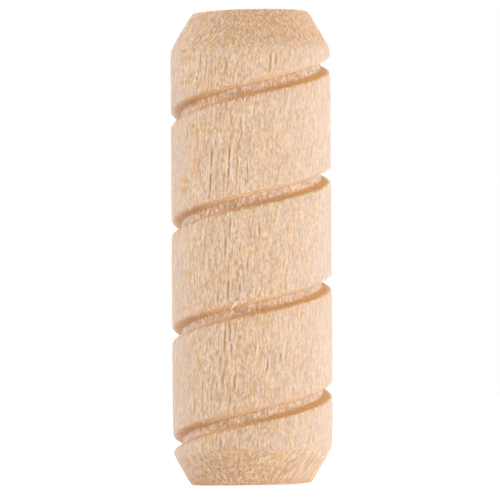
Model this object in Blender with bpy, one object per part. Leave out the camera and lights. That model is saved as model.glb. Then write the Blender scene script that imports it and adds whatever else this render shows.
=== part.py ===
"""Spiral groove dowel pin: a short birch rod with one helical glue groove and a chamfer at each end.

The pin is built as a dowel mill builds it. A groove is cut along a plain rod, which makes grooved
rod stock. A piece of that stock is then cut to length and its ends are chamfered, which is the same
as keeping only the stock that lies inside one turned outline.

Lengths are in metres and +Z is up. The origin is the centre of the lower end face, and the pin
stands on that face with its axis along +Z.
"""

import math

import bmesh
import bpy
from mathutils import Matrix, Vector

# Body of the pin: a 10 mm x 30 mm pin, a little over its nominal diameter so that it grips its hole
PIN_DIAMETER = 0.01015
PIN_LENGTH = 0.030

# Chamfer at each end: its length along the axis, and its slope away from the axis
CHAMFER_LENGTH = 0.00235
CHAMFER_ANGLE = math.radians(30)
CHAMFER_TOP_ROUNDING = 0.0008
END_FACE_ROUNDING = 0.00015

# Spiral groove: a right-hand helix whose middle crosses the +X side at GROOVE_CROSSING_HEIGHT
GROOVE_PITCH = 0.00688
GROOVE_CROSSING_HEIGHT = 0.0061
GROOVE_DEPTH = 0.00054
GROOVE_FLOOR_WIDTH = 0.0005
GROOVE_WALL_ANGLE = math.radians(24)
GROOVE_LIP_ROUNDING = 0.00025
GROOVE_CORNER_ROUNDING = 0.00012

# Facets of the round surfaces
FACETS_PER_TURN = 64
LIP_FACETS = 4
CORNER_FACETS = 2
CHAMFER_ROUNDING_FACETS = 4
END_FACE_ROUNDING_FACETS = 3

# The rod stock runs past the pin by this much at both ends before it is cut
STOCK_ALLOWANCE = 0.001
# Points of neighbouring turns that lie closer than this are the same point
WELD_DISTANCE = 1e-6
SHARP_EDGE = math.radians(32)

BIRCH_COLOUR = (0.76, 0.54, 0.37, 1.0)
BIRCH_ROUGHNESS = 0.62

PIN_RADIUS = PIN_DIAMETER / 2
END_FACE_RADIUS = PIN_RADIUS - CHAMFER_LENGTH * math.tan(CHAMFER_ANGLE)


def clear_scene():
    for obj in list(bpy.data.objects):
        bpy.data.objects.remove(obj)


def rounded_corner(before, corner, after, radius, facets):
    """The points of an arc that rounds a corner of a flat outline.

    The radius is limited so that the arc uses at most half of the shorter side.
    """
    to_before = (before - corner).normalized()
    to_after = (after - corner).normalized()
    half_angle = to_before.angle(to_after) / 2
    shorter_side = min((before - corner).length, (after - corner).length)
    tangent_length = min(radius / math.tan(half_angle), shorter_side / 2)
    arc_radius = tangent_length * math.tan(half_angle)
    middle = (to_before + to_after).normalized()
    centre = corner + middle * arc_radius / math.sin(half_angle)
    start = corner + to_before * tangent_length - centre
    # angle_signed counts clockwise turns as positive, and a rotation matrix counts them as negative
    turn = -start.angle_signed(corner + to_after * tangent_length - centre)
    return [centre + Matrix.Rotation(turn * i / facets, 2) @ start for i in range(facets + 1)]


def groove_section():
    """One pitch of the grooved rod's side as (radius, height) points, with the groove at height 0."""
    half_pitch = GROOVE_PITCH / 2
    half_floor = GROOVE_FLOOR_WIDTH / 2
    half_mouth = half_floor + GROOVE_DEPTH * math.tan(GROOVE_WALL_ANGLE)
    floor_radius = PIN_RADIUS - GROOVE_DEPTH
    land_end = Vector((PIN_RADIUS, half_pitch))
    lip = Vector((PIN_RADIUS, half_mouth))
    corner = Vector((floor_radius, half_floor))
    floor_middle = Vector((floor_radius, 0))
    upper_half = [land_end]
    upper_half += rounded_corner(land_end, lip, corner, GROOVE_LIP_ROUNDING, LIP_FACETS)
    upper_half += rounded_corner(lip, corner, floor_middle, GROOVE_CORNER_ROUNDING, CORNER_FACETS)
    lower_half = [Vector((point.x, -point.y)) for point in reversed(upper_half)]
    return upper_half + lower_half


def chamfered_outline():
    """The turned outline that the finished pin lies inside, from the lower end of the axis to the upper.

    Between the chamfers it swells away from the rod, so that it cuts only the ends.
    """
    half_length = PIN_LENGTH / 2
    axis_end = Vector((0, 0))
    face_edge = Vector((END_FACE_RADIUS, 0))
    chamfer_top = Vector((PIN_RADIUS, CHAMFER_LENGTH))
    side_middle = Vector((PIN_RADIUS, half_length))
    lower_half = [axis_end]
    lower_half += rounded_corner(axis_end, face_edge, chamfer_top, END_FACE_ROUNDING, END_FACE_ROUNDING_FACETS)
    side_rounding = rounded_corner(
        face_edge, chamfer_top, side_middle, CHAMFER_TOP_ROUNDING, CHAMFER_ROUNDING_FACETS
    )
    # The last point of this arc touches the rod's side, so the outline leaves the arc before it
    lower_half += side_rounding[:-1]
    swell = math.tan(CHAMFER_ANGLE / CHAMFER_ROUNDING_FACETS / 2)
    last = lower_half[-1]
    widest = Vector((last.x + (half_length - last.y) * swell, half_length))
    upper_half = [Vector((point.x, PIN_LENGTH - point.y)) for point in reversed(lower_half)]
    return lower_half + [widest] + upper_half


def draw_outline(bm, outline, height):
    """Draws (radius, height) points as a line of edges on the +X side."""
    verts = [bm.verts.new((point.x, 0, height + point.y)) for point in outline]
    edges = [bm.edges.new(pair) for pair in zip(verts, verts[1:])]
    return verts + edges


def new_object(name, bm):
    bmesh.ops.recalc_face_normals(bm, faces=bm.faces)
    mesh = bpy.data.meshes.new(name)
    bm.to_mesh(mesh)
    bm.free()
    obj = bpy.data.objects.new(name, mesh)
    bpy.context.scene.collection.objects.link(obj)
    return obj


def cut_square(bm, height, keep_above):
    """Cuts the rod stock square across at a height, drops one side of it and closes the cut."""
    cut = bmesh.ops.bisect_plane(
        bm,
        geom=bm.verts[:] + bm.edges[:] + bm.faces[:],
        dist=WELD_DISTANCE,
        plane_co=(0, 0, height),
        plane_no=(0, 0, 1),
        clear_inner=keep_above,
        clear_outer=not keep_above,
    )
    rim = [item for item in cut["geom_cut"] if isinstance(item, bmesh.types.BMEdge)]
    bmesh.ops.edgeloop_fill(bm, edges=rim)


def grooved_rod():
    """A length of rod with the groove along it, a little longer than the pin."""
    half_pitch = GROOVE_PITCH / 2
    lowest = -STOCK_ALLOWANCE
    highest = PIN_LENGTH + STOCK_ALLOWANCE
    # The first and last turns of a helical strip are ragged, so both lie past the cuts
    turns_below = math.ceil((GROOVE_CROSSING_HEIGHT + half_pitch - lowest) / GROOVE_PITCH)
    start_height = GROOVE_CROSSING_HEIGHT - turns_below * GROOVE_PITCH
    turns = math.ceil((highest - start_height - half_pitch) / GROOVE_PITCH) + 1
    bm = bmesh.new()
    bmesh.ops.spin(
        bm,
        geom=draw_outline(bm, groove_section(), start_height),
        cent=(0, 0, 0),
        axis=(0, 0, 1),
        dvec=(0, 0, GROOVE_PITCH / FACETS_PER_TURN),
        angle=turns * math.tau,
        steps=turns * FACETS_PER_TURN,
        use_merge=False,
        use_duplicate=False,
    )
    bmesh.ops.remove_doubles(bm, verts=bm.verts, dist=WELD_DISTANCE)
    cut_square(bm, lowest, keep_above=True)
    cut_square(bm, highest, keep_above=False)
    return new_object("dowel_pin", bm)


def chamfered_blank():
    """The turned solid that trims the grooved rod to length and gives it its chamfers."""
    bm = bmesh.new()
    bmesh.ops.spin(
        bm,
        geom=draw_outline(bm, chamfered_outline(), 0),
        cent=(0, 0, 0),
        axis=(0, 0, 1),
        angle=math.tau,
        steps=FACETS_PER_TURN,
        use_merge=True,
        use_duplicate=False,
    )
    bmesh.ops.remove_doubles(bm, verts=bm.verts, dist=WELD_DISTANCE)
    return new_object("chamfered_blank", bm)


def keep_inside(obj, envelope):
    """Keeps only the part of obj that lies inside the envelope, and removes the envelope."""
    trim = obj.modifiers.new("Trim to length and chamfer", "BOOLEAN")
    trim.operation = "INTERSECT"
    trim.solver = "EXACT"
    trim.object = envelope
    graph = bpy.context.evaluated_depsgraph_get()
    trimmed = bpy.data.meshes.new_from_object(obj.evaluated_get(graph))
    obj.modifiers.clear()
    obj.data = trimmed
    bpy.data.objects.remove(envelope)


def birch():
    material = bpy.data.materials.new("birch")
    material.use_nodes = True
    shader = material.node_tree.nodes["Principled BSDF"]
    shader.inputs["Base Color"].default_value = BIRCH_COLOUR
    shader.inputs["Roughness"].default_value = BIRCH_ROUGHNESS
    shader.inputs["Metallic"].default_value = 0
    return material


def finish(obj, material):
    obj.data.materials.clear()
    obj.data.materials.append(material)
    obj.data.shade_smooth()
    obj.data.set_sharp_from_angle(angle=SHARP_EDGE)


clear_scene()
pin = grooved_rod()
keep_inside(pin, chamfered_blank())
finish(pin, birch())
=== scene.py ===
import math
import random

import bmesh
import bpy
from mathutils import Matrix, Vector, noise


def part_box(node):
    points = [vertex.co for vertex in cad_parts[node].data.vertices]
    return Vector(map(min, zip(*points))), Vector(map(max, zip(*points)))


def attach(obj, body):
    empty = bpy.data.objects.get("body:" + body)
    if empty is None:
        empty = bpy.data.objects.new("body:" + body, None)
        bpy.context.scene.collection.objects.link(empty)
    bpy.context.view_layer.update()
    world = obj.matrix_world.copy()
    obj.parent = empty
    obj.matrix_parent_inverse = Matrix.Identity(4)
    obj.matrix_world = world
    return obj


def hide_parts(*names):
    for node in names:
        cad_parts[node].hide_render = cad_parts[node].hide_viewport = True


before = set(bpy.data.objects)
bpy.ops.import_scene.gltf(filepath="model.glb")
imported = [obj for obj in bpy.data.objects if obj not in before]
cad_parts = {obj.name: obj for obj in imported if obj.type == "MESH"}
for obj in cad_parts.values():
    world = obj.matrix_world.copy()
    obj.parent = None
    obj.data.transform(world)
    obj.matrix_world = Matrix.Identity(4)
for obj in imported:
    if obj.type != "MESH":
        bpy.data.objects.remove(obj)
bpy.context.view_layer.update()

# The pin is a single length of birch rod, milled round with one spiral glue groove along it. A saw
# cuts it off the rod, a little out of square, and a cutter turns a chamfer on each end.
pin_low, pin_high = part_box("dowel_pin")
PIN_LENGTH = pin_high.z - pin_low.z
PIN_RADIUS = (pin_high.x - pin_low.x) / 2
# The groove's middle crosses the +X side at GROOVE_CROSSING_HEIGHT
GROOVE_PITCH = 0.00688
GROOVE_CROSSING_HEIGHT = 0.0060
GROOVE_DEPTH = 0.00063
GROOVE_FLOOR_WIDTH = 0.0005
GROOVE_MOUTH_WIDTH = 0.00098
UPPER_LIP_ROUNDING = 0.00012
LOWER_LIP_ROUNDING = 0.0002
GROOVE_CORNER_ROUNDING = 0.00006
# The groove strays up and down in a long wave, and dips the most at the last of these heights
GROOVE_WANDER = 0.00008
GROOVE_WANDER_LENGTH = 0.0255
GROOVE_DIPS_AT = 0.0181
CHAMFER_SLOPE = math.tan(math.radians(30))
CHAMFER_TOP_ROUNDING = 0.0008
CHAMFERS_END_BEFORE = 0.004
RIM_ROUNDING = 0.00016
# For each end, the lower one first: the middle and the radius of its face. The cutter sat a little
# off the pin's axis, and further off at the lower end. The saw cut both ends out of square.
FACES = ((Vector((-0.00009, 0, 0)), 0.00385), (Vector((-0.00001, 0, PIN_LENGTH)), 0.00372))
OUT_OF_SQUARE = math.radians(0.75)
saw_normal = Vector((-math.sin(OUT_OF_SQUARE), 0, math.cos(OUT_OF_SQUARE)))
saw_rise = Vector((0, 0, FACES[0][1] * math.tan(OUT_OF_SQUARE)))
saw_cuts = ((FACES[0][0] + saw_rise, -saw_normal), (FACES[1][0] - saw_rise, saw_normal))
# How close the points of the mesh lie: round the rod, up its lands, across its groove, in from its rims
# and on the rest of its end faces
STEPS_PER_TURN = 432
LAND_SPACING = 0.0003
GROOVE_SPACING = 0.00012
RIM_ROWS = (0.00004, 0.0001, 0.0002)
END_FACE_RINGS = 8
LIP_SEGMENTS = 4
CORNER_SEGMENTS = 2
WELD_DISTANCE = 1e-6


def draw_groove_section():
    """One pitch of the rod's side, drawn on the +X side with the groove's middle at height 0."""
    section = bmesh.new()
    land_end = PIN_RADIUS, GROOVE_PITCH / 2
    lip = PIN_RADIUS, GROOVE_MOUTH_WIDTH / 2
    corner = PIN_RADIUS - GROOVE_DEPTH, GROOVE_FLOOR_WIDTH / 2
    outline = [land_end, lip, corner] + [(radius, -height) for radius, height in (corner, lip, land_end)]
    verts = [section.verts.new((radius, 0, height)) for radius, height in outline]
    for pair in zip(verts, verts[1:]):
        section.edges.new(pair)
    for corners, rounding, segments in (
        ([verts[1]], UPPER_LIP_ROUNDING, LIP_SEGMENTS),
        ([verts[4]], LOWER_LIP_ROUNDING, LIP_SEGMENTS),
        ([verts[2], verts[3]], GROOVE_CORNER_ROUNDING, CORNER_SEGMENTS),
    ):
        bmesh.ops.bevel(
            section, geom=corners, offset=rounding, offset_type="OFFSET", affect="VERTICES",
            segments=segments, profile=0.5, material=-1,
        )
    # Edges up to a quarter of the pitch lie in the groove, and the longer ones are the lands
    for longest, spacing in ((GROOVE_PITCH / 4, GROOVE_SPACING), (GROOVE_PITCH, LAND_SPACING)):
        edges = [edge for edge in section.edges if 2 * spacing < edge.calc_length() < longest]
        cuts = round(edges[0].calc_length() / spacing) - 1
        bmesh.ops.subdivide_edges(section, edges=edges, cuts=cuts)
    return section


def groove_dip(height):
    """How far the groove's wave lowers it at a height."""
    return GROOVE_WANDER * math.cos(math.tau * (height - GROOVE_DIPS_AT) / GROOVE_WANDER_LENGTH)


def mill_rod():
    """Sweeps the section up a helix, which gives the grooved rod, and cuts it off at both ends.

    An eighth of a turn is swept. The rest is copies, each turned and lifted on by what is there already.
    """
    rod = draw_groove_section()
    bmesh.ops.translate(rod, verts=rod.verts, vec=(0, 0, GROOVE_CROSSING_HEIGHT - 3 * GROOVE_PITCH))
    angle, rise = math.tau / 8, GROOVE_PITCH / 8
    bmesh.ops.spin(
        rod, geom=rod.verts[:] + rod.edges[:], cent=(0, 0, 0), axis=(0, 0, 1),
        dvec=(0, 0, GROOVE_PITCH / STEPS_PER_TURN), angle=angle, steps=STEPS_PER_TURN // 8,
        use_merge=False, use_duplicate=False,
    )
    while rise < PIN_LENGTH + 2 * GROOVE_PITCH:
        copied = bmesh.ops.duplicate(rod, geom=rod.verts[:] + rod.edges[:] + rod.faces[:])["geom"]
        verts = [item for item in copied if isinstance(item, bmesh.types.BMVert)]
        bmesh.ops.rotate(rod, verts=verts, cent=(0, 0, 0), matrix=Matrix.Rotation(angle, 3, "Z"))
        bmesh.ops.translate(rod, verts=verts, vec=(0, 0, rise))
        angle, rise = 2 * angle, 2 * rise
    bmesh.ops.remove_doubles(rod, verts=rod.verts, dist=WELD_DISTANCE)
    for vert in rod.verts:
        vert.co.z -= groove_dip(vert.co.z)
    for middle, outward in saw_cuts:
        for depth in (0, *RIM_ROWS):
            bmesh.ops.bisect_plane(
                rod, geom=rod.verts[:] + rod.edges[:] + rod.faces[:], dist=WELD_DISTANCE,
                plane_co=middle - outward * depth, plane_no=outward, clear_outer=depth == 0,
            )
    return rod


def chamfer_radius(depth, face_radius, rod_radius):
    """How far the turned end reaches from the cutter's axis, at a depth below the end face."""
    cone = face_radius + depth * CHAMFER_SLOPE
    rim = RIM_ROUNDING * max(0, 1 - depth / (2 * RIM_ROUNDING)) ** 2 / 2
    blend = CHAMFER_TOP_ROUNDING / 4
    reach = (rod_radius - cone) / blend
    if reach > 1:
        return cone - rim
    return rod_radius - blend * (1 + reach) ** 2 / 4 if reach > -1 else rod_radius


def smooth_step(value, start, end):
    part = min(max((value - start) / (end - start), 0), 1)
    return part * part * (3 - 2 * part)


def height_over_groove(place):
    """How far a place lies above the nearest turn of the groove's middle."""
    unwound = place.z + groove_dip(place.z) - GROOVE_CROSSING_HEIGHT
    unwound -= GROOVE_PITCH * math.atan2(place.y, place.x) / math.tau
    return (unwound + GROOVE_PITCH / 2) % GROOVE_PITCH - GROOVE_PITCH / 2


def depth_in_pin(place):
    """How far a place lies from the nearer sawn end, and which end that is."""
    end = 0 if place.z < PIN_LENGTH / 2 else 1
    return (saw_cuts[end][0] - place).dot(saw_cuts[end][1]), end


# How each mark fades, in metres or as shares of the groove's widths
CHAMFER_MARK_FADE = 0.0002
LIP_MARK_AT = 0.56
LIP_MARK_FADE = (0.00003, 0.00014)
GROOVE_MARK_FADE = (0.42, 0.52)
FLOOR_MARK_FADE = (0.4, 0.55)


def turn_chamfers(rod):
    """Turns both ends down, and marks on each point how far it is chamfered or lies in the groove."""
    chamfered = rod.verts.layers.float.new("chamfered")
    grooved = rod.verts.layers.float.new("grooved")
    floored = rod.verts.layers.float.new("groove_floor")
    walled = rod.verts.layers.float.new("groove_wall")
    lipped = rod.verts.layers.float.new("lower_lip")
    groove_edge = [share * GROOVE_MOUTH_WIDTH for share in GROOVE_MARK_FADE]
    floor_edge = [share * GROOVE_FLOOR_WIDTH for share in FLOOR_MARK_FADE]
    for vert in rod.verts:
        depth, end = depth_in_pin(vert.co)
        face_middle, face_radius = FACES[end]
        offset = (vert.co - face_middle).xy
        rod_radius = PIN_RADIUS - face_middle.xy.dot(offset.normalized())
        limit = chamfer_radius(depth, face_radius, rod_radius)
        over_groove = height_over_groove(vert.co)
        vert[lipped] = 1 - smooth_step(abs(over_groove + GROOVE_MOUTH_WIDTH * LIP_MARK_AT), *LIP_MARK_FADE)
        if offset.length > limit + WELD_DISTANCE and depth < CHAMFERS_END_BEFORE:
            vert.co.xy = face_middle.xy + offset * limit / offset.length
            vert[chamfered] = smooth_step(rod_radius - limit, 0, CHAMFER_MARK_FADE)
        else:
            vert[grooved] = 1 - smooth_step(abs(over_groove), *groove_edge)
            on_wall = smooth_step(abs(over_groove), *floor_edge)
            vert[floored] = vert[grooved] * (1 - on_wall)
            vert[walled] = vert[grooved] * on_wall * math.copysign(1, over_groove)


def close_ends(rod):
    """Closes each sawn end with rings of faces, drawn in one after another from its rim."""
    for end, (middle, _) in enumerate(saw_cuts):
        to_middle = Matrix.Translation(-middle)
        rim = [edge for edge in rod.edges if edge.is_boundary and depth_in_pin(edge.verts[0].co)[1] == end]
        for ring in range(END_FACE_RINGS, 0, -1):
            drawn_in = bmesh.ops.extrude_edge_only(rod, edges=rim)["geom"]
            verts = [item for item in drawn_in if isinstance(item, bmesh.types.BMVert)]
            bmesh.ops.scale(rod, verts=verts, vec=[ring / (ring + 1)] * 3, space=to_middle)
            rim = [item for item in drawn_in if isinstance(item, bmesh.types.BMEdge) and item.is_boundary]
            for face in drawn_in:
                if isinstance(face, bmesh.types.BMFace):
                    face.material_index = 1
        last = bmesh.ops.edgeloop_fill(rod, edges=rim)["faces"]
        last[0].material_index = 1
        bmesh.ops.poke(rod, faces=last)


# The grain climbs along the pin and leans to the right. Some vessels are cut open along the front as
# slits with raised edges, which grow shallow over the last sixth at each end: the lower and upper
# height of each in mm, its azimuth (0 at the front, positive to the right) and its depth as a share.
GRAIN_LEAN = math.tan(math.radians(4.5))
SLIT_WIDTH = 0.000068
SLIT_DEPTH = 0.00003
SLIT_TAPER = 6
EDGE_MARK = 0.7
EDGE_HEIGHT = 0.2
VESSEL_SLITS = (
    (18.1, 21.5, -29.6, 1.0), (8.2, 10.0, -19.6, 1.0), (18.9, 21.7, -15.7, 0.9), (14.2, 15.8, -18.8, 0.9),
    (11.5, 13.1, -17.1, 0.9), (25.9, 27.1, 14.4, 0.9), (26.2, 27.0, 18.5, 0.7), (4.7, 7.0, -38.2, 0.5),
    (18.7, 20.4, -2.9, 0.8), (15.1, 16.9, -15.7, 0.7), (21.1, 22.5, -41.3, 0.6), (14.6, 16.5, -35.1, 0.6),
    (7.1, 8.0, 10.7, 0.9), (8.3, 9.0, -14.8, 1.0), (9.0, 10.2, -15.9, 0.8), (22.3, 23.1, -7.2, 0.7),
    (20.9, 21.9, -9.1, 0.6), (11.8, 12.7, -8.8, 0.6), (26.1, 27.2, -32.8, 0.6), (4.4, 5.4, -46.0, 0.7),
    (18.5, 19.7, -19.9, 0.5), (7.2, 8.1, -23.5, 0.7), (6.1, 6.9, -21.7, 0.7), (18.7, 19.8, -23.3, 0.3),
    (6.2, 6.8, -12.8, 0.8), (26.3, 27.0, -38.5, 0.7), (15.7, 16.5, 5.7, 0.7), (13.3, 14.3, -3.0, 0.7),
    (4.9, 5.9, -16.2, 0.7), (2.5, 3.0, -23.5, 0.8), (25.4, 26.1, -40.9, 0.6), (25.9, 26.7, -17.5, 0.9),
    (21.7, 22.4, -52.3, 0.6), (15.5, 16.3, -39.6, 0.6), (22.5, 23.1, -13.7, 0.9), (11.4, 12.1, -25.1, 0.6),
    (7.7, 8.4, 20.3, 0.7), (11.2, 11.7, -35.9, 0.6),
)
# The slits of the back are strewn by chance, clear of the chamfers, and most are short
BACK_SLITS = 36
SHORTEST_SLIT, LONGEST_SLIT = 0.5, 2.7
LOWEST_SLIT, HIGHEST_SLIT = 2.6, 27.4
BACK_MIDDLES = (3.5, 26.5)
BACK_AZIMUTHS = (95, 175)
strewn = random.Random(11)
back_slits = []
for _ in range(BACK_SLITS):
    length = SHORTEST_SLIT + (LONGEST_SLIT - SHORTEST_SLIT) * strewn.random() ** 2
    height = strewn.uniform(*BACK_MIDDLES)
    azimuth = strewn.choice((-1, 1)) * strewn.uniform(*BACK_AZIMUTHS)
    lower, upper = max(LOWEST_SLIT, height - length / 2), min(HIGHEST_SLIT, height + length / 2)
    back_slits.append((lower, upper, azimuth, strewn.uniform(0.4, 1)))


def slit_share(place):
    """How deep a place lies in a vessel slit, as a share of SLIT_DEPTH, or below 0 on its raised edge."""
    share = 0
    azimuth = math.degrees(math.atan2(place.x, -place.y))
    for lower, upper, middle, depth in (*VESSEL_SLITS, *back_slits):
        along = (place.z * 1000 - lower) / (upper - lower)
        if 0 < along < 1:
            leaned = (along - 0.5) * (upper - lower) / 1000 * GRAIN_LEAN * math.cos(math.radians(middle))
            across = abs(math.radians(azimuth - middle) * PIN_RADIUS - leaned)
            taper = min(1, SLIT_TAPER * along, SLIT_TAPER * (1 - along))
            in_slit = 1 - smooth_step(across, SLIT_WIDTH / 3, SLIT_WIDTH * 1.5)
            on_edge = smooth_step(across, SLIT_WIDTH, SLIT_WIDTH * 2)
            on_edge *= 1 - smooth_step(across, SLIT_WIDTH * 2, SLIT_WIDTH * 4)
            share = max((share, depth * taper * (in_slit - EDGE_MARK * on_edge)), key=abs)
    return share


def grain(place, across, along):
    """Noise from -1 to 1 that is drawn out along the grain, at so many waves to a millimetre."""
    x = (place.x - GRAIN_LEAN * place.z) * 1000 * across
    return noise.noise(Vector((x, place.y * 1000 * across, place.z * 1000 * along)))


# The cutter left strokes on the chamfers, which spread out like the ribs of a fan and lean to one side.
# For each end, the lower one first: how much they spread in each mm to the side, and how much they lean.
# CHAMFER_MIDDLE is how far a chamfer's middle lies from its end.
STROKE_SPREAD = (0.11, -0.05)
STROKE_LEAN = (0.25, 0.05)
CHAMFER_MIDDLE = 0.0012


def along_chamfer(place):
    """A place on a chamfer, moved sideways so that the strokes its cutter left would stand upright."""
    end = 0 if place.z < PIN_LENGTH / 2 else 1
    from_middle = place.z - (PIN_LENGTH - CHAMFER_MIDDLE if end else CHAMFER_MIDDLE)
    lean = STROKE_LEAN[end] + STROKE_SPREAD[end] * 1000 * place.x
    return place - Vector((lean * from_middle, 0, 0))


# The height of each kind of relief in mm. The lands, chamfers and groove are also sunk a little, so
# that the relief stays within the pin's own size.
LAND_RIPPLE, LAND_WAVE, LAND_SUNK = 0.005, 0.006, 0.008
STROKE_RELIEF = 0.018
GROOVE_LUMPS, GROOVE_GRIT, GROOVE_SUNK = 0.02, 0.018, 0.01
LIP_TEARS = 0.14
LEAST_TEAR = 0.05
LIP_TEAR_FADE = (0.00006, 0.00035)
TEARS_START_AT = 0.002
SAWN_RELIEF = 0.012
SAWN_WAVES_PER_METRE = 2500


def roughen(rod):
    """Gives each surface the relief its cutter left."""
    chamfered, grooved = rod.verts.layers.float["chamfered"], rod.verts.layers.float["grooved"]
    slit = rod.verts.layers.float.new("slit")
    rod.normal_update()
    moves = []
    for vert in rod.verts:
        place = vert.co
        on_chamfer, in_groove = vert[chamfered], vert[grooved]
        on_land = (1 - on_chamfer) * (1 - in_groove)
        ripples = LAND_RIPPLE * grain(place, 5, 1.5) + LAND_WAVE * grain(place, 1.5, 0.2)
        relief = on_land * (ripples - LAND_SUNK)
        depth = depth_in_pin(place)[0]
        on_chamfer *= smooth_step(depth, 0, CHAMFER_MARK_FADE)
        stroke = along_chamfer(place)
        relief += on_chamfer * STROKE_RELIEF * (grain(stroke, 3, 0.8) + grain(stroke, 7, 1.4) - 1)
        roughness = GROOVE_LUMPS * grain(place, 4, 3) + GROOVE_GRIT * grain(place, 9, 7)
        relief += in_groove * (roughness - GROOVE_SUNK)
        over_lip = height_over_groove(place) + GROOVE_MOUTH_WIDTH / 2
        torn = max(0, grain(place, 5, 1.2) - LEAST_TEAR)
        torn *= 1 - smooth_step(abs(over_lip), *LIP_TEAR_FADE)
        relief -= LIP_TEARS * torn * (1 - on_chamfer) * (depth > TEARS_START_AT)
        if depth < WELD_DISTANCE:
            relief = SAWN_RELIEF * (noise.noise(place * SAWN_WAVES_PER_METRE) - 0.5)
        vert[slit] = slit_share(place) * (1 - in_groove)
        relief -= max(vert[slit], EDGE_HEIGHT * vert[slit]) * SLIT_DEPTH * 1000
        moves.append(vert.normal * relief / 1000)
    for vert, move in zip(rod.verts, moves):
        vert.co += move


SHARP_EDGE = math.radians(50)
rod = mill_rod()
turn_chamfers(rod)
close_ends(rod)
bmesh.ops.recalc_face_normals(rod, faces=rod.faces)
roughen(rod)
mesh = bpy.data.meshes.new("milled_pin")
rod.to_mesh(mesh)
pin = bpy.data.objects.new("milled_pin", mesh)
bpy.context.scene.collection.objects.link(pin)
mesh.shade_smooth()
mesh.set_sharp_from_angle(angle=SHARP_EDGE)


def add_node(tree, kind, inputs=(), **settings):
    """Adds a node, with its settings, and with a value or a link for each of the named inputs."""
    node = tree.nodes.new(kind)
    for name, value in settings.items():
        setattr(node, name, value)
    for name, value in dict(inputs).items():
        if isinstance(value, bpy.types.NodeSocket):
            tree.links.new(value, node.inputs[name])
        else:
            node.inputs[name].default_value = value
    return node


def add_math(tree, operation, *values):
    return add_node(tree, "ShaderNodeMath", enumerate(values), operation=operation).outputs[0]


def add_range(tree, value, low, high, to_low=0, to_high=1):
    inputs = {"Value": value, "From Min": low, "From Max": high, "To Min": to_low, "To Max": to_high}
    return add_node(tree, "ShaderNodeMapRange", inputs).outputs["Result"]


def add_mix(tree, share, first, second, blend="MIX"):
    inputs = {0: share, 6: first, 7: second}
    return add_node(tree, "ShaderNodeMix", inputs, data_type="RGBA", blend_type=blend).outputs[2]


def add_tint(tree, share, colour, tint):
    """The colour multiplied by a tint, to a share."""
    return add_mix(tree, share, colour, tint, "MULTIPLY")


def add_vector_math(tree, operation, *values):
    """The vector and the value that come out of a vector operation."""
    return tuple(add_node(tree, "ShaderNodeVectorMath", enumerate(values), operation=operation).outputs)


def add_stretched(tree, place, scale, offset=0.0):
    """The place in the wood with so many waves to a millimetre along each axis, moved on by an offset."""
    inputs = {"Vector": place, "Scale": scale, "Location": (offset, offset, offset)}
    return add_node(tree, "ShaderNodeMapping", inputs).outputs["Vector"]


def add_noise(tree, place, detail=2.0, roughness=0.5):
    inputs = {"Vector": place, "Scale": 1, "Detail": detail, "Roughness": roughness}
    return add_node(tree, "ShaderNodeTexNoise", inputs).outputs["Fac"]


# Flecks and pores on the left of the front, where the rays of the wood are cut along: the height and the
# azimuth of each, half its width and half its height in mm, and how strong it is.
FLECKS = (
    (27.8, -44.4, 0.27, 0.14, 0.5), (27.4, -56.4, 0.42, 0.13, 0.8), (27.4, -44.3, 0.2, 0.16, 0.85),
    (26.9, -52.5, 0.7, 0.17, 0.6), (26.0, -40.6, 0.1, 0.2, 0.9), (25.8, -47.0, 0.12, 0.2, 0.8),
    (25.6, -41.7, 0.1, 0.15, 0.9), (25.4, -54.0, 0.6, 0.14, 0.68), (25.1, -40.8, 0.1, 0.2, 0.8),
    (22.6, -45.1, 0.16, 0.14, 0.82), (22.3, -41.2, 0.1, 0.22, 0.78), (21.9, -42.3, 0.1, 0.2, 0.8),
    (22.0, -52.1, 0.14, 0.2, 0.6), (21.4, -42.0, 0.12, 0.2, 0.9), (20.5, -46.7, 0.22, 0.13, 0.6),
    (20.3, -42.9, 0.18, 0.2, 0.5), (20.0, -44.5, 0.12, 0.2, 0.5), (19.7, -42.6, 0.12, 0.14, 0.6),
    (19.2, -54.9, 0.38, 0.14, 0.75), (18.6, -55.6, 0.46, 0.19, 0.75), (18.2, -47.2, 0.16, 0.18, 0.45),
    (15.7, -40.3, 0.07, 0.3, 0.5), (14.6, -47.4, 0.12, 0.22, 0.6), (13.6, -44.6, 0.1, 0.15, 0.6),
    (13.4, -55.5, 0.6, 0.13, 0.32), (12.0, -44.4, 0.12, 0.25, 0.4), (11.5, -43.0, 0.14, 0.14, 0.4),
    (11.2, -56.0, 0.42, 0.13, 0.38), (9.2, -40.0, 0.08, 0.2, 0.6), (8.9, -47.8, 0.12, 0.18, 0.55),
    (8.2, -51.7, 0.18, 0.18, 0.42), (7.6, -41.3, 0.1, 0.35, 0.55), (6.6, -44.5, 0.2, 0.18, 0.42),
    (5.3, -45.1, 0.16, 0.24, 0.5), (4.65, -47.1, 0.13, 0.2, 0.5), (1.7, -42.1, 0.15, 0.2, 0.6),
)


def add_spots(tree, place, size):
    """Scattered spots of differing strength, one to a cell; size is the reach of a spot as a share of it."""
    cells = add_node(tree, "ShaderNodeTexVoronoi", {"Vector": place, "Scale": 1, "Randomness": 1})
    strength = add_node(tree, "ShaderNodeSeparateColor", {"Color": cells.outputs["Color"]}).outputs[0]
    spot = add_range(tree, cells.outputs["Distance"], size, size * 0.4)
    return add_math(tree, "MULTIPLY", spot, add_range(tree, strength, 0.3, 1))


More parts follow.
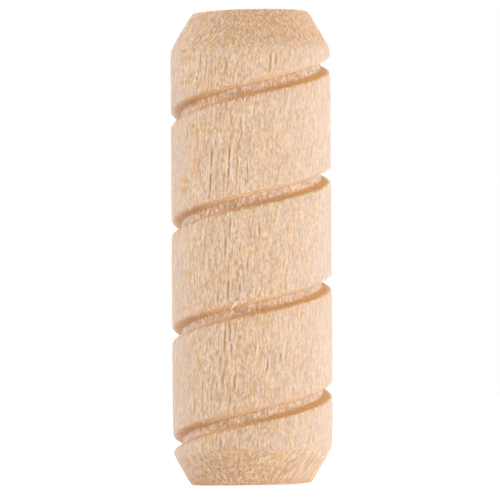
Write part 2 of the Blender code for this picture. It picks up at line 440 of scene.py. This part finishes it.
# The grain of birch as a node group, which each kind of surface below uses. It takes a place in mm.
grain_tree = bpy.data.node_groups.new("Birch Grain", "ShaderNodeTree")
grain_tree.interface.new_socket("Place", in_out="INPUT", socket_type="NodeSocketVector")
for name in ("Streaks", "Tint", "Vessels", "Slivers", "Rays", "Mottle"):
    grain_tree.interface.new_socket(name, in_out="OUTPUT", socket_type="NodeSocketFloat")
wood_place = add_node(grain_tree, "NodeGroupInput").outputs["Place"]
side, behind, height = add_node(grain_tree, "ShaderNodeSeparateXYZ", {"Vector": wood_place}).outputs
side = add_math(grain_tree, "ADD", side, add_math(grain_tree, "MULTIPLY", height, -GRAIN_LEAN))
upright = add_node(
    grain_tree, "ShaderNodeCombineXYZ", {"X": side, "Y": behind, "Z": height}
).outputs["Vector"]
waver = add_noise(grain_tree, add_stretched(grain_tree, upright, (0.5, 0.5, 0.25)))
waver = add_range(grain_tree, waver, 0, 1, -0.25, 0.25)
wavy, _ = add_vector_math(grain_tree, "MULTIPLY_ADD", waver, (1, 1, 0), upright)
fine = add_noise(grain_tree, add_stretched(grain_tree, wavy, (9.0, 9.0, 3.4)))
long = add_noise(grain_tree, add_stretched(grain_tree, wavy, (7.5, 7.5, 0.9), 7), 1.5)
streaks = add_math(grain_tree, "MULTIPLY_ADD", fine, 0.6, add_math(grain_tree, "MULTIPLY", long, 0.4))
tint = add_noise(grain_tree, add_stretched(grain_tree, wavy, (2.0, 2.0, 0.8), 3), 1.0)
vessels = add_spots(grain_tree, add_stretched(grain_tree, wavy, (2.6, 2.6, 0.22)), 0.17)
pores = add_spots(grain_tree, add_stretched(grain_tree, wavy, (4.4, 4.4, 1.2), 5), 0.24)
slivers = add_spots(grain_tree, add_stretched(grain_tree, wavy, (4.0, 4.0, 1.0), 9), 0.24)
mottle = add_noise(grain_tree, add_stretched(grain_tree, wood_place, (0.9, 0.9, 0.5), 11))
rays = add_spots(grain_tree, add_stretched(grain_tree, wood_place, (2.6, 0.9, 3.4)), 0.36)
rays = add_math(grain_tree, "MULTIPLY", rays, 0.42)
ragged = add_noise(grain_tree, add_stretched(grain_tree, upright, (8, 8, 5), 2))
ragged = add_range(grain_tree, ragged, 0, 1, -0.7, 0.7)
for height, azimuth, half_width, half_height, share in FLECKS:
    turn = math.radians(azimuth)
    middle = (math.sin(turn) * PIN_RADIUS * 1000, -math.cos(turn) * PIN_RADIUS * 1000, height)
    away, _ = add_vector_math(grain_tree, "SUBTRACT", wood_place, middle)
    near, _ = add_vector_math(grain_tree, "DIVIDE", away, (half_width, half_width, half_height))
    _, reach = add_vector_math(grain_tree, "LENGTH", near)
    reach = add_math(grain_tree, "ADD", reach, ragged)
    rays = add_math(grain_tree, "MAXIMUM", rays, add_range(grain_tree, reach, 1.35, 0.7, 0, share))
add_node(grain_tree, "NodeGroupOutput", {
    "Streaks": add_range(grain_tree, streaks, 0.36, 0.64),
    "Tint": add_range(grain_tree, tint, 0.33, 0.67),
    "Vessels": add_math(grain_tree, "MAXIMUM", vessels, pores),
    "Slivers": slivers,
    "Rays": rays,
    "Mottle": add_range(grain_tree, mottle, 0.3, 0.7),
})


def add_place(tree):
    """The place on the pin in millimetres."""
    place = add_node(tree, "ShaderNodeTexCoord").outputs["Object"]
    return add_node(tree, "ShaderNodeVectorMath", {0: place, 3: 1000}, operation="SCALE").outputs["Vector"]


def add_grain(tree, place):
    """The birch grain at a place."""
    grain_node = add_node(tree, "ShaderNodeGroup", node_tree=grain_tree)
    tree.links.new(place, grain_node.inputs["Place"])
    return grain_node.outputs


# Colours of the milled wood. Its streaks run from the pale fibre to the tan one, and where it is smooth
# they come near to one value between the two.
PALE_FIBRE = (0.99, 0.77, 0.59, 1)
TAN_FIBRE = (0.66, 0.365, 0.16, 1)
EVEN_STREAK = 0.42
MOTTLE_BROWN = (0.8, 0.5, 0.32, 1)
VESSEL_BROWN = (0.56, 0.25, 0.06, 1)
SLIT_BROWN_AND_SHADE = (0.5, 0.21, 0.045, 1)
SLIT_HIGHLIGHT_AND_PALE_SLIVER = (1.0, 0.81, 0.62, 1)
RAY_OCHRE = (0.77, 0.425, 0.15, 1)
PORE_BROWN = (0.45, 0.21, 0.05, 1)
CHAMFER_BROWN = (0.61, 0.31, 0.12, 1)
GROOVE_BROWN = (0.53, 0.29, 0.13, 1)
CORNER_SHADE_BROWN = (0.42, 0.22, 0.1, 1)
# Tints, which the colour of the wood is multiplied by. LEFT and RIGHT are the sides of the front, and
# EDGE is the last of the left side. The tints of the flanks and of the groove's floor, walls and lower lip
# are painted light and shade, and those of the chamfers are partly painted light.
PINK_TINT = (0.965, 0.988, 1.065, 1)
YELLOW_TINT = (1.037, 1.01, 0.94, 1)
LEFT_FLANK_SHEEN = (0.97, 1.01, 1.12, 1)
RIGHT_FLANK_SHEEN = (1.0, 1.04, 1.14, 1)
CHAMFER_LEFT = (1.12, 1.145, 1.19, 1)
CHAMFER_RIGHT = (1.16, 1.205, 1.2, 1)
TOP_CHAMFER_RIGHT = (1.23, 1.16, 1.06, 1)
GROOVE_FLOOR_SHADING_LEFT = (1.055, 1.135, 1.235, 1)
GROOVE_FLOOR_SHADING_RIGHT = (0.985, 1.04, 1.115, 1)
LOWER_WALL_SHADE_LEFT = (1.0, 0.93, 0.84, 1)
LOWER_WALL_SHADE_RIGHT = (1.01, 0.81, 0.46, 1)
UPPER_WALL_SHADING_LEFT = (1.03, 0.955, 0.82, 1)
UPPER_WALL_SHADING_RIGHT = (1.1, 1.2, 1.17, 1)
UPPER_WALL_SHADING_EDGE = (1.16, 1.17, 1.2, 1)
DEEP_WALL_SHADE = (0.82, 0.76, 0.7, 1)
LOWER_LIP_SHADING_LEFT = (0.94, 0.91, 0.85, 1)
LOWER_LIP_SHADING_MIDDLE = (1.04, 0.95, 0.8, 1)
LOWER_LIP_SHADING_RIGHT = (1.2, 1.17, 1.03, 1)
# Depths in the groove in mm, between which the painted shade on the left of its upper wall deepens
DEEP_STARTS, DEEP_ENDS = 0.15, 0.4
# Heights in mm, between which the values of the lower end give way to those of the upper end
HALFWAY = (14, 16)
# How much the grain of a chamfer is drawn out along the strokes, and how high the finest relief stands
STROKE_DRAW = 0.3
BUMP_HEIGHT = 0.000008
milled = bpy.data.materials.new("milled_birch")
milled.use_nodes = True
tree = milled.node_tree
in_mm = add_place(tree)
slit_mark, chamfer_mark, floor_mark, wall_mark, lip_mark = [
    add_node(tree, "ShaderNodeAttribute", attribute_name=name).outputs["Fac"]
    for name in ("slit", "chamfered", "groove_floor", "groove_wall", "lower_lip")
]
side, behind, height = add_node(tree, "ShaderNodeSeparateXYZ", {"Vector": in_mm}).outputs
# On the chamfers the grain is read where it would lie if the cutter's strokes stood upright
chamfer_middles = -CHAMFER_MIDDLE * 1000, (CHAMFER_MIDDLE - PIN_LENGTH) * 1000
from_middle = add_math(tree, "ADD", height, add_range(tree, height, *HALFWAY, *chamfer_middles))
spread = add_math(tree, "MULTIPLY", side, add_range(tree, height, *HALFWAY, *STROKE_SPREAD))
lean = add_math(tree, "ADD", spread, add_range(tree, height, *HALFWAY, *STROKE_LEAN))
upright_side = add_math(tree, "SUBTRACT", side, add_math(tree, "MULTIPLY", lean, from_middle))
drawn_height = add_math(tree, "MULTIPLY_ADD", from_middle, -STROKE_DRAW, height)
stroke_place = add_node(
    tree, "ShaderNodeCombineXYZ", {"X": upright_side, "Y": behind, "Z": drawn_height}
).outputs["Vector"]
grain_place = add_node(
    tree, "ShaderNodeMix", {0: chamfer_mark, 4: in_mm, 5: stroke_place}, data_type="VECTOR"
).outputs[1]
wood = add_grain(tree, grain_place)
# The wood is smoother towards both sides of the front
smoothed = add_math(
    tree, "MAXIMUM", add_range(tree, side, -1, 5, 0, 0.5), add_range(tree, side, -3.2, -4.4, 0, 0.5)
)
open_grain = add_math(tree, "SUBTRACT", 1, smoothed)
streaks = add_node(tree, "ShaderNodeMix", {0: smoothed, 2: wood["Streaks"], 3: EVEN_STREAK}).outputs[0]
colour = add_mix(tree, streaks, PALE_FIBRE, TAN_FIBRE)
colour = add_tint(tree, 1, colour, add_mix(tree, wood["Tint"], PINK_TINT, YELLOW_TINT))
colour = add_mix(tree, add_range(tree, wood["Mottle"], 0, 1, 0, 0.08), colour, MOTTLE_BROWN)
# Painted sheen: the colour grows paler and bluer towards the left and right flanks of the front
colour = add_tint(tree, add_range(tree, side, -3, -4.6), colour, LEFT_FLANK_SHEEN)
colour = add_tint(tree, add_range(tree, side, 1, 4.4), colour, RIGHT_FLANK_SHEEN)
# The chamfers, with the cutter's strokes. Their tint is partly the end grain's own colour and partly
# painted light: paler on the right, and warmer on the top chamfer's right.
turned = add_mix(tree, add_range(tree, height, *HALFWAY), CHAMFER_RIGHT, TOP_CHAMFER_RIGHT)
turned = add_mix(tree, add_range(tree, side, -4, 1), CHAMFER_LEFT, turned)
colour = add_tint(tree, chamfer_mark, colour, turned)
strokes = add_noise(tree, add_stretched(tree, stroke_place, (6.5, 6.5, 1.7), 5), 2.0, 0.6)
strokes = add_math(tree, "MULTIPLY", add_range(tree, strokes, 0.4, 0.62), chamfer_mark)
# The groove: its torn floor, and painted light and shade on its floor, its two walls and its lower lip,
# with a painted shade line in the corner between its floor and its upper wall
# Painted light and shade on the groove's floor: paler and bluer on the left than on the right
grooved = add_mix(tree, add_range(tree, side, -4, 1), GROOVE_FLOOR_SHADING_LEFT, GROOVE_FLOOR_SHADING_RIGHT)
colour = add_tint(tree, floor_mark, colour, grooved)
rough = add_noise(tree, add_stretched(tree, in_mm, (6, 6, 3.6), 5), 2.0, 0.6)
rough = add_range(tree, rough, 0.42, 0.62)
torn = add_math(tree, "MULTIPLY", rough, add_math(tree, "MULTIPLY", floor_mark, 0.7))
colour = add_mix(tree, torn, colour, GROOVE_BROWN)
colour = add_mix(tree, add_math(tree, "MULTIPLY", strokes, 0.56), colour, CHAMFER_BROWN)
# Painted shade on the lower wall: darker and more orange, most on the right
lower = add_mix(tree, add_range(tree, side, -3.5, 3.5), LOWER_WALL_SHADE_LEFT, LOWER_WALL_SHADE_RIGHT)
colour = add_tint(tree, add_range(tree, wall_mark, 0, -1), colour, lower)
# Painted light and shade on the upper wall: darker and more orange on the left, paler on the right and at
# the far left edge
upper = add_mix(tree, add_range(tree, side, -3.5, 1), UPPER_WALL_SHADING_LEFT, UPPER_WALL_SHADING_RIGHT)
upper = add_mix(tree, add_range(tree, side, -4.8, -5), upper, UPPER_WALL_SHADING_EDGE)
colour = add_tint(tree, add_range(tree, wall_mark, 0, 1), colour, upper)
# Painted shade: the left part of the upper wall darkens deeper in the groove
flat_place = add_node(tree, "ShaderNodeCombineXYZ", {"X": side, "Y": behind}).outputs["Vector"]
_, from_axis = add_vector_math(tree, "LENGTH", flat_place)
deep_shade = add_range(tree, from_axis, PIN_RADIUS * 1000 - DEEP_STARTS, PIN_RADIUS * 1000 - DEEP_ENDS)
deep_shade = add_math(tree, "MULTIPLY", deep_shade, add_range(tree, wall_mark, 0, 1))
deep_shade = add_math(tree, "MULTIPLY", deep_shade, add_range(tree, side, -2.6, -3.6))
colour = add_tint(tree, deep_shade, colour, DEEP_WALL_SHADE)
# Painted light and shade on the lower lip: darker on the left, more orange in the middle, paler on the right
lip = add_mix(tree, add_range(tree, side, -3.7, 0), LOWER_LIP_SHADING_LEFT, LOWER_LIP_SHADING_MIDDLE)
lip = add_mix(tree, add_range(tree, side, 0, 3.7), lip, LOWER_LIP_SHADING_RIGHT)
colour = add_tint(tree, add_math(tree, "SUBTRACT", lip_mark, chamfer_mark), colour, lip)
# Painted shade: a dark line in the corner between the groove's floor and its upper wall
corner_shade = add_range(tree, add_math(tree, "MULTIPLY", wall_mark, floor_mark), 0, 0.25, 0, 0.4)
colour = add_mix(tree, corner_shade, colour, CORNER_SHADE_BROWN)
# The vessels, slits, rays and pores lie over all of it, with a painted highlight on the slits' raised edges
pale = add_math(tree, "MULTIPLY", wood["Slivers"], add_math(tree, "MULTIPLY", open_grain, 0.6))
colour = add_mix(tree, pale, colour, SLIT_HIGHLIGHT_AND_PALE_SLIVER)
dark = add_math(tree, "MULTIPLY", wood["Vessels"], add_math(tree, "MULTIPLY", open_grain, 0.65))
colour = add_mix(tree, dark, colour, VESSEL_BROWN)
# Painted highlight: the slits' raised edges are coloured pale
colour = add_mix(tree, add_range(tree, slit_mark, 0, -1), colour, SLIT_HIGHLIGHT_AND_PALE_SLIVER)
# The slits' brown is partly the open vessels' own colour and partly painted shade in them
colour = add_mix(tree, add_range(tree, slit_mark, 0, 1, 0, 0.95), colour, SLIT_BROWN_AND_SHADE)
colour = add_mix(tree, add_range(tree, wood["Rays"], 0, 0.75, 0, 0.9), colour, RAY_OCHRE)
colour = add_mix(tree, add_range(tree, wood["Rays"], 0.75, 1, 0, 0.7), colour, PORE_BROWN)
hollows = add_math(tree, "MULTIPLY_ADD", wood["Vessels"], 1.5, wood["Streaks"])
rough_floor = add_math(tree, "MULTIPLY", rough, add_math(tree, "MULTIPLY", floor_mark, 3))
hollows = add_math(tree, "ADD", hollows, rough_floor)
hollows = add_math(tree, "MULTIPLY_ADD", strokes, 5, hollows)
bump = add_node(
    tree, "ShaderNodeBump", {"Height": hollows, "Strength": 1, "Distance": BUMP_HEIGHT}, invert=True
)
shader = tree.nodes["Principled BSDF"]
tree.links.new(colour, shader.inputs["Base Color"])
tree.links.new(bump.outputs["Normal"], shader.inputs["Normal"])
shader.inputs["Roughness"].default_value = 0.55

# The sawn ends show the growth rings as wide arcs round the tree's middle, and the rays that cross them.
# The tree's middle is in mm from the pin's, and RAY_CROWDING is how many waves of rays lie in a radian
# round it and in a mm along them.
TREE_MIDDLE = (25.7, -30.6, 0)
RINGS_PER_MM = 0.62
RAY_CROWDING = (240, 0.7)
SAWN_PALE = (0.74, 0.5, 0.32, 1)
SAWN_TAN = (0.6, 0.37, 0.21, 1)
LATE_WOOD = (0.5, 0.29, 0.15, 1)
SAW_MARK_HEIGHT = 0.00003
sawn = bpy.data.materials.new("sawn_birch")
sawn.use_nodes = True
tree = sawn.node_tree
in_mm = add_place(tree)
wood = add_grain(tree, in_mm)
from_tree_middle, _ = add_vector_math(tree, "SUBTRACT", in_mm, TREE_MIDDLE)
out_x, out_y, _ = add_node(tree, "ShaderNodeSeparateXYZ", {"Vector": from_tree_middle}).outputs
flat_place = add_node(tree, "ShaderNodeCombineXYZ", {"X": out_x, "Y": out_y}).outputs["Vector"]
_, ring_radius = add_vector_math(tree, "LENGTH", flat_place)
unevenness = add_noise(tree, add_stretched(tree, in_mm, (0.4, 0.4, 0.01)))
ring_share = add_math(tree, "FRACT", add_math(tree, "MULTIPLY_ADD", ring_radius, RINGS_PER_MM, unevenness))
late_wood = add_math(
    tree, "MULTIPLY", add_range(tree, ring_share, 0.55, 0.93), add_range(tree, ring_share, 1, 0.94)
)
ray_x = add_math(tree, "MULTIPLY", add_math(tree, "ARCTAN2", out_y, out_x), RAY_CROWDING[0])
ray_y = add_math(tree, "MULTIPLY", ring_radius, RAY_CROWDING[1])
ray_place = add_node(tree, "ShaderNodeCombineXYZ", {"X": ray_x, "Y": ray_y}).outputs["Vector"]
ray_lines = add_range(tree, add_noise(tree, ray_place), 0.42, 0.62)
colour = add_mix(tree, wood["Streaks"], SAWN_PALE, SAWN_TAN)
colour = add_mix(tree, add_math(tree, "MULTIPLY", ray_lines, 0.35), colour, SAWN_PALE)
colour = add_mix(tree, add_math(tree, "MULTIPLY", late_wood, 0.6), colour, LATE_WOOD)
saw_marks = add_noise(tree, add_stretched(tree, in_mm, (0.4, 5, 1)))
ridges = add_math(tree, "ADD", saw_marks, wood["Streaks"])
bump = add_node(tree, "ShaderNodeBump", {"Height": ridges, "Strength": 1, "Distance": SAW_MARK_HEIGHT})
shader = tree.nodes["Principled BSDF"]
tree.links.new(colour, shader.inputs["Base Color"])
tree.links.new(bump.outputs["Normal"], shader.inputs["Normal"])
shader.inputs["Roughness"].default_value = 0.7

mesh.materials.append(milled)
mesh.materials.append(sawn)
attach(pin, "root")
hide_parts("dowel_pin")

# Torn fibres stand off the wood where the cutters left the surface rough. Each is a thin sliver of the
# same birch, still held at its root, and they are thickest along the groove's lips and on the chamfers.
SLIVER_WIDTH = 0.0001
SLIVER_TIP = 0.25
LIP_SLIVERS_PER_TURN = 44
UPPER_LIP_SHARE = 0.4
CHAMFER_SLIVERS = 260
LAND_SLIVERS = 900
# How deep the roots lie, how far the slivers of the lips stand off the groove's mouth, and the shortest
# and the longest of each kind
LOWER_LIP_ROOT, UPPER_LIP_ROOT, CHAMFER_ROOT, LAND_ROOT = 0.00004, 0.00002, 0.00004, 0.00003
OFF_MOUTH = 0.00003
LOWER_LIP_LENGTHS, UPPER_LIP_LENGTHS = (0.0002, 0.0006), (0.0001, 0.0003)
CHAMFER_LENGTHS, LAND_LENGTHS = (0.00015, 0.0003), (0.0003, 0.0009)
# The lips and lands have none nearer to an end than this, where the chamfers are
NO_SLIVERS_WITHIN = 0.003
HIGHEST_ON_LAND = PIN_LENGTH - 0.0035
ON_LAND = (0.001, GROOVE_PITCH - 0.0015)
ON_CHAMFER = (0.0004, 0.0026)
FRESH_FIBRE = (1.0, 0.9, 0.74, 1)
DRY_FIBRE = (0.98, 0.75, 0.52, 1)
chance = random.Random(4)
fibres = bmesh.new()


def add_sliver(azimuth, radius, height, upward, length, lift, lean=GRAIN_LEAN):
    """Adds a sliver whose root is in the surface, and whose tip is lifted off it by a share of its length.

    It points up where upward is 1, and down where it is -1.
    """
    outward = Vector((math.sin(azimuth), -math.cos(azimuth), 0))
    across = Vector((0, 0, 1)).cross(outward)
    sway = lean * math.cos(azimuth) + chance.gauss(0, 0.1)
    along = (Vector((0, 0, upward)) + across * sway * upward + outward * lift).normalized()
    flat = along.cross(across).normalized()
    turned_to_lie = Matrix((flat.cross(along), flat, along)).transposed().to_4x4()
    middle = outward * radius + Vector((0, 0, height)) + along * length / 2
    bmesh.ops.create_cone(
        fibres, cap_ends=True, cap_tris=True, segments=4, radius1=SLIVER_WIDTH / 2,
        radius2=SLIVER_WIDTH / 2 * SLIVER_TIP, depth=length,
        matrix=Matrix.Translation(middle) @ turned_to_lie,
    )


def land_height(azimuth, over_groove, turn):
    """The height of a place so far over one turn of the groove's middle, at an azimuth."""
    height = GROOVE_CROSSING_HEIGHT + GROOVE_PITCH * (azimuth / math.tau - 0.25 + turn) + over_groove
    return height - groove_dip(height)


for turn in range(-1, 6):
    for step in range(LIP_SLIVERS_PER_TURN):
        azimuth = math.tau * (step + chance.random()) / LIP_SLIVERS_PER_TURN
        lower_lip = land_height(azimuth, -GROOVE_MOUTH_WIDTH / 2 - OFF_MOUTH, turn)
        if NO_SLIVERS_WITHIN < lower_lip < PIN_LENGTH - NO_SLIVERS_WITHIN:
            length = chance.uniform(*LOWER_LIP_LENGTHS)
            add_sliver(azimuth, PIN_RADIUS - LOWER_LIP_ROOT, lower_lip, -1, length, lift=0.05)
            upper_lip = lower_lip + GROOVE_MOUTH_WIDTH + 2 * OFF_MOUTH
            if chance.random() < UPPER_LIP_SHARE and upper_lip < PIN_LENGTH - NO_SLIVERS_WITHIN:
                length = chance.uniform(*UPPER_LIP_LENGTHS)
                add_sliver(azimuth, PIN_RADIUS - UPPER_LIP_ROOT, upper_lip, -1, length, lift=-0.1)
for end, (face_middle, face_radius) in enumerate(FACES):
    inward = 1 - 2 * end
    for step in range(CHAMFER_SLIVERS):
        azimuth = math.tau * (step + chance.random()) / CHAMFER_SLIVERS
        outward = Vector((math.sin(azimuth), -math.cos(azimuth), 0))
        root = face_middle + outward * face_radius
        root.z += inward * chance.uniform(*ON_CHAMFER)
        if abs(height_over_groove(root)) > GROOVE_MOUTH_WIDTH:
            off_axis = face_middle.xy.dot(outward.xy)
            radius = chamfer_radius(depth_in_pin(root)[0], face_radius, PIN_RADIUS - off_axis) + off_axis
            length = chance.uniform(*CHAMFER_LENGTHS)
            add_sliver(azimuth, radius - CHAMFER_ROOT, root.z, -inward, length, lift=-0.56)
for _ in range(LAND_SLIVERS):
    azimuth = chance.uniform(0, math.tau)
    over_groove = chance.uniform(*ON_LAND)
    height = land_height(azimuth, over_groove, chance.randrange(-1, 5))
    if NO_SLIVERS_WITHIN < height < HIGHEST_ON_LAND:
        length = chance.uniform(*LAND_LENGTHS)
        add_sliver(azimuth, PIN_RADIUS - LAND_ROOT, height, 1, length, lift=0.05)

# One bundle of fibres crosses the groove's second turn on the front: it hangs over the upper wall, and
# its lower part rises from the floor to the lower lip. Each fibre has an azimuth in degrees and a length,
# and starts a little above the lip or above the floor's middle.
UPPER_BUNDLE = ((-10.1, 0.00062), (-10.8, 0.00066), (-11.5, 0.0005), (-9.6, 0.0004))
LOWER_BUNDLE = ((-15.0, 0.0007), (-15.7, 0.00075), (-16.5, 0.0006))
BUNDLE_TURN = 1
BUNDLE_STARTS_ABOVE = 0.00008
BUNDLE_ROOT = 0.00001
for azimuth, length in UPPER_BUNDLE:
    angle = math.radians(azimuth)
    above_lip = land_height(angle, GROOVE_MOUTH_WIDTH / 2, BUNDLE_TURN) + BUNDLE_STARTS_ABOVE
    add_sliver(angle, PIN_RADIUS - BUNDLE_ROOT, above_lip, -1, length, lift=-0.15, lean=0.85)
for azimuth, length in LOWER_BUNDLE:
    angle = math.radians(azimuth)
    on_floor = land_height(angle, BUNDLE_STARTS_ABOVE, BUNDLE_TURN)
    add_sliver(angle, PIN_RADIUS - GROOVE_DEPTH, on_floor, -1, length, lift=0.95, lean=0.35)

fibre_mesh = bpy.data.meshes.new("torn_fibres")
fibres.to_mesh(fibre_mesh)
torn_fibres = bpy.data.objects.new("torn_fibres", fibre_mesh)
bpy.context.scene.collection.objects.link(torn_fibres)
torn_birch = bpy.data.materials.new("torn_birch")
torn_birch.use_nodes = True
tree = torn_birch.node_tree
wood = add_grain(tree, add_place(tree))
shader = tree.nodes["Principled BSDF"]
tree.links.new(add_mix(tree, wood["Streaks"], FRESH_FIBRE, DRY_FIBRE), shader.inputs["Base Color"])
shader.inputs["Roughness"].default_value = 0.5
fibre_mesh.materials.append(torn_birch)
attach(torn_fibres, "root")

# The floor is a plain white sheet, and the background is white. Both are brightened only for what the
# camera sees of them, so the pin gets no more light for it, and the floor still takes its shadow. The
# sheet throws no shadow itself, so that the low soft box lights the pin through it.
FLOOR_HALF_SIZE = 3
FLOOR_WHITE = (0.9, 0.9, 0.9, 1)
GLOW_NEAR_PIN, GLOW_FAR_OFF = 0.7, 0.96
NEAR_PIN, FAR_OFF = 0.01, 0.06
ROOM_LIGHT = 0.08
floor_mesh = bpy.data.meshes.new("floor")
sheet = bmesh.new()
bmesh.ops.create_grid(sheet, x_segments=1, y_segments=1, size=FLOOR_HALF_SIZE)
sheet.to_mesh(floor_mesh)
floor = bpy.data.objects.new("floor", floor_mesh)
bpy.context.scene.collection.objects.link(floor)
floor.visible_shadow = False


def seen_directly(tree):
    """1 where the camera, a reflection or a see-through surface sees the material, and 0 for its light."""
    path = add_node(tree, "ShaderNodeLightPath").outputs
    camera_or_glossy = add_math(tree, "MAXIMUM", path["Is Camera Ray"], path["Is Glossy Ray"])
    return add_math(tree, "MAXIMUM", camera_or_glossy, path["Is Transmission Ray"])


white = bpy.data.materials.new("white_sheet")
white.use_nodes = True
floor_mesh.materials.append(white)
tree = white.node_tree
_, away = add_vector_math(tree, "LENGTH", add_node(tree, "ShaderNodeTexCoord").outputs["Object"])
glow = add_range(tree, away, NEAR_PIN, FAR_OFF, GLOW_NEAR_PIN, GLOW_FAR_OFF)
shader = tree.nodes["Principled BSDF"]
tree.links.new(add_math(tree, "MULTIPLY", seen_directly(tree), glow), shader.inputs["Emission Strength"])
shader.inputs["Emission Color"].default_value = (1, 1, 1, 1)
shader.inputs["Base Color"].default_value = FLOOR_WHITE
shader.inputs["Roughness"].default_value = 1
shader.inputs["Specular IOR Level"].default_value = 0

world = bpy.data.worlds.new("white_room")
bpy.context.scene.world = world
world.use_nodes = True
tree = world.node_tree
background = tree.nodes["Background"]
background.inputs["Color"].default_value = (1, 1, 1, 1)
tree.links.new(add_range(tree, seen_directly(tree), 0, 1, ROOM_LIGHT, 1), background.inputs["Strength"])

# Soft boxes of one size stand round the pin, all as far from it. Each has its azimuth, 0 on the camera's
# side and 90 on its right, its elevation, and how bright it alone makes a white card that faces it.
PIN_MIDDLE = Vector((0, 0, PIN_LENGTH / 2))
BOX_DISTANCE = 0.5
BOX_SIZE = 0.3
for name, azimuth, elevation, level in (
    ("left_box", -90, 20, 0.41),
    ("front_box", 0, 20, 0.34),
    ("low_right_box", 60, -15, 0.45),
    ("rear_right_box", 120, 3, 0.29),
    ("rear_top_box", 180, 60, 0.61),
):
    turn, tilt = math.radians(azimuth), math.radians(elevation)
    away = Vector((math.sin(turn) * math.cos(tilt), -math.cos(turn) * math.cos(tilt), math.sin(tilt)))
    lamp = bpy.data.lights.new(name, "AREA")
    lamp.size = BOX_SIZE
    lamp.energy = level * math.pi ** 2 * BOX_DISTANCE ** 2
    box = bpy.data.objects.new(name, lamp)
    box.location = PIN_MIDDLE + away * BOX_DISTANCE
    box.rotation_euler = away.to_track_quat("Z", "Y").to_euler()
    bpy.context.scene.collection.objects.link(box)

# The camera stands level with the lower part of the pin and looks up at it a little. It is tipped a
# little to one side.
CAMERA_DISTANCE = 0.319
CAMERA_HEIGHT = 0.0060
CAMERA_AIM = Vector((-0.0001, 0, 0.01489))
CAMERA_ROLL = math.radians(-0.39)
CAMERA_LENS = 361.8
camera = bpy.data.objects.new("camera", bpy.data.cameras.new("camera"))
camera.data.sensor_width = 36
camera.data.lens = CAMERA_LENS
camera.data.clip_start = 0.01
camera.location = (CAMERA_AIM.x, -CAMERA_DISTANCE, CAMERA_HEIGHT)
look = (CAMERA_AIM - camera.location).to_track_quat("-Z", "Y")
camera.rotation_euler = (look.to_matrix() @ Matrix.Rotation(CAMERA_ROLL, 3, "Z")).to_euler()
bpy.context.scene.collection.objects.link(camera)
bpy.context.scene.camera = camera
bpy.context.scene.view_settings.view_transform = "Standard"
